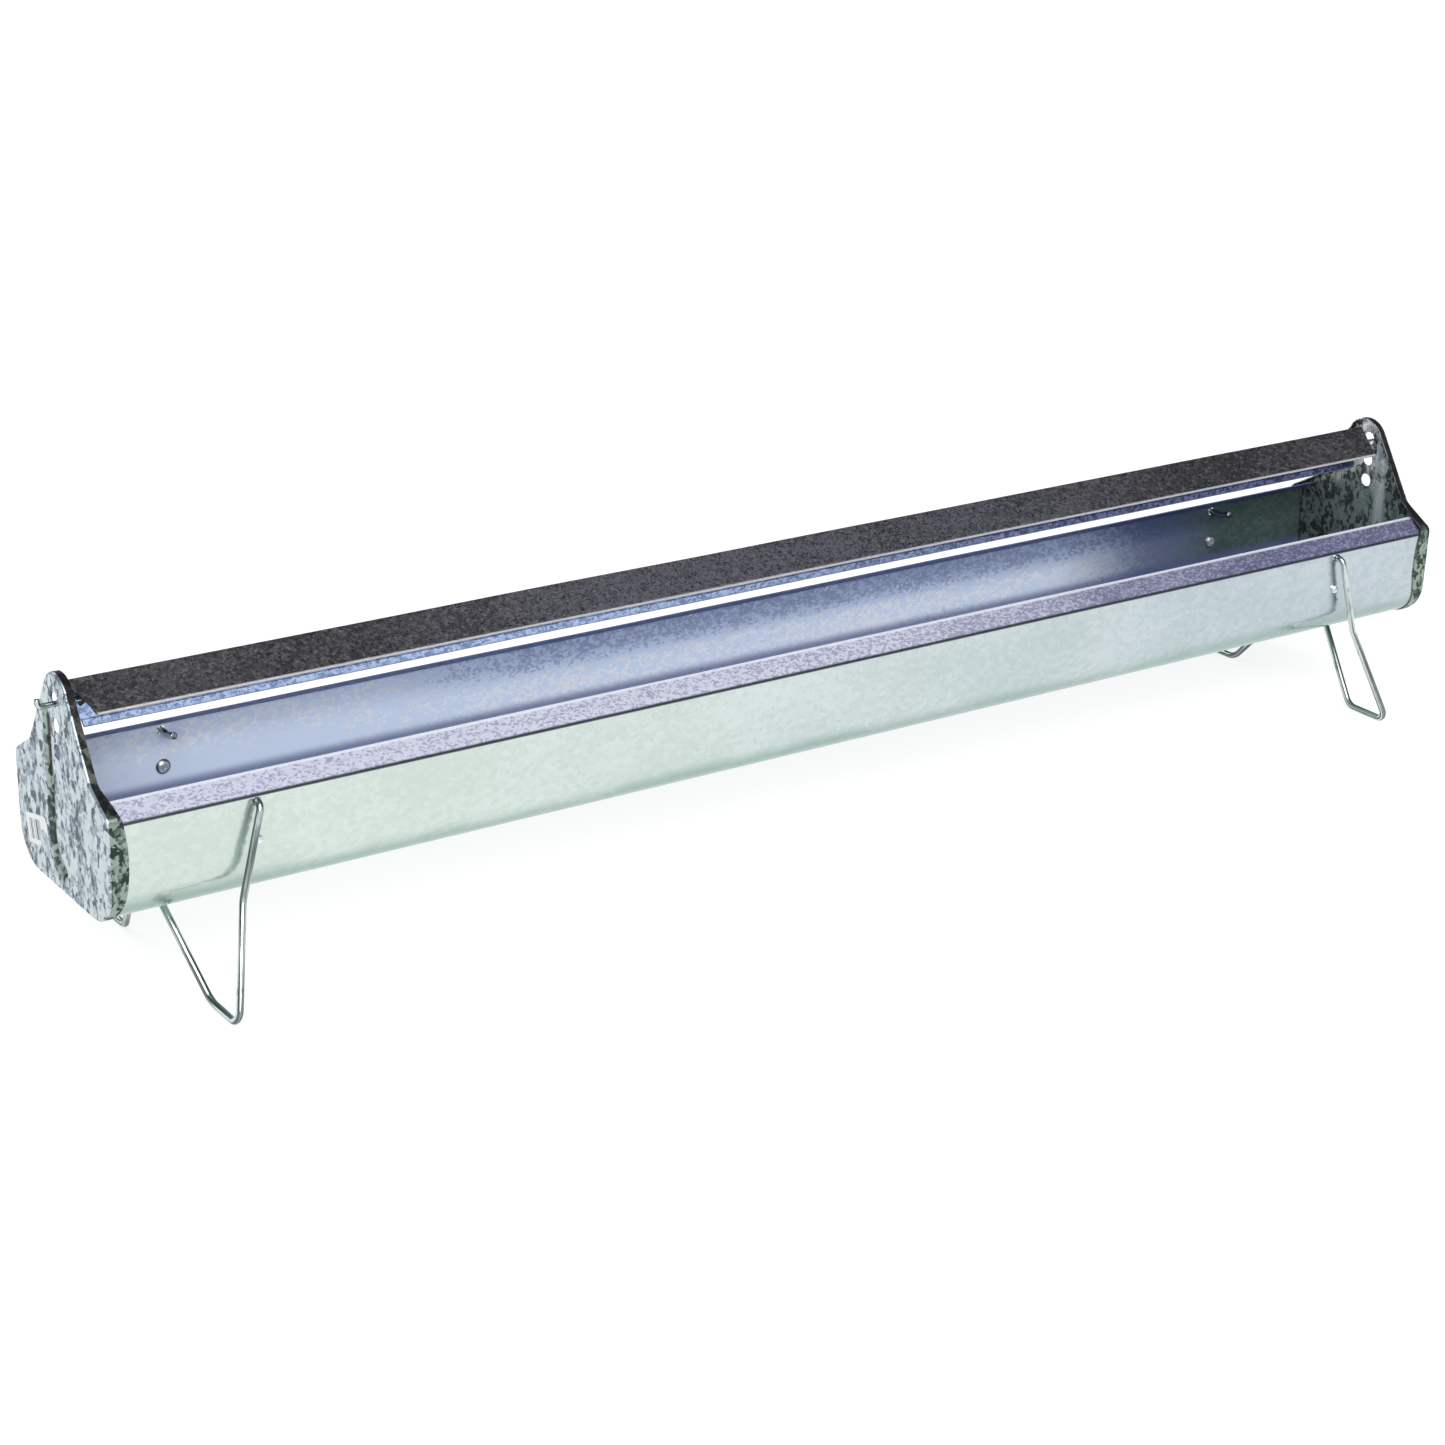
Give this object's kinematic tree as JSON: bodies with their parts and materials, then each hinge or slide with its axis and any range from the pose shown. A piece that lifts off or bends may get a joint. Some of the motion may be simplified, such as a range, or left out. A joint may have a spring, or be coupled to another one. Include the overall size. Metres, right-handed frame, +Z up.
{
  "type": "linear poultry trough feeder",
  "caption": "Open galvanised sheet feeding trough with rolled-in lips, pressed end caps, a turning guard bar on a wire axle and swinging wire stands.",
  "frame": {"origin": "on the ground, under the middle of the trough", "axes": "+X along the trough, from the end with the price label to the other; +Y from the front of the trough to its back; +Z up"},
  "size_m": [1.0234, 0.1876, 0.1905],
  "materials": {
    "trough_sheet": "satin hot-dip galvanised sheet with fine spangle",
    "cap_sheet": "galvanised sheet with coarse mottled spangle",
    "bar_sheet": "galvanised sheet with fine dark spangle",
    "wire": "bright galvanised drawn wire",
    "rivet": "satin blind rivet",
    "label": "matt white sticker with plain grey bars"
  },
  "bodies": {
    "root": {"trough": "trough_sheet", "left_end_cap": "cap_sheet", "right_end_cap": "cap_sheet", "front_left_rivet": "rivet", "front_right_rivet": "rivet", "back_left_rivet": "rivet", "back_right_rivet": "rivet", "price_label": "label"},
    "guard_bar": {"guard_bar": "bar_sheet", "bar_axle": "wire"},
    "left_stand": {"left_stand": "wire"},
    "right_stand": {"right_stand": "wire"}
  },
  "joints": [
    {"name": "bar_spin", "type": "hinge", "parent": "root", "child": "guard_bar", "pos_m": [0, 0, 0.1727], "axis": [1, 0, 0], "continuous": true},
    {"name": "left_stand_fold", "type": "hinge", "parent": "root", "child": "left_stand", "pos_m": [-0.411, 0, 0.1182], "axis": [0, -1, 0], "range_deg": [0, 68]},
    {"name": "right_stand_fold", "type": "hinge", "parent": "root", "child": "right_stand", "pos_m": [0.411, 0, 0.1182], "axis": [0, 1, 0], "range_deg": [0, 68]}
  ]
}
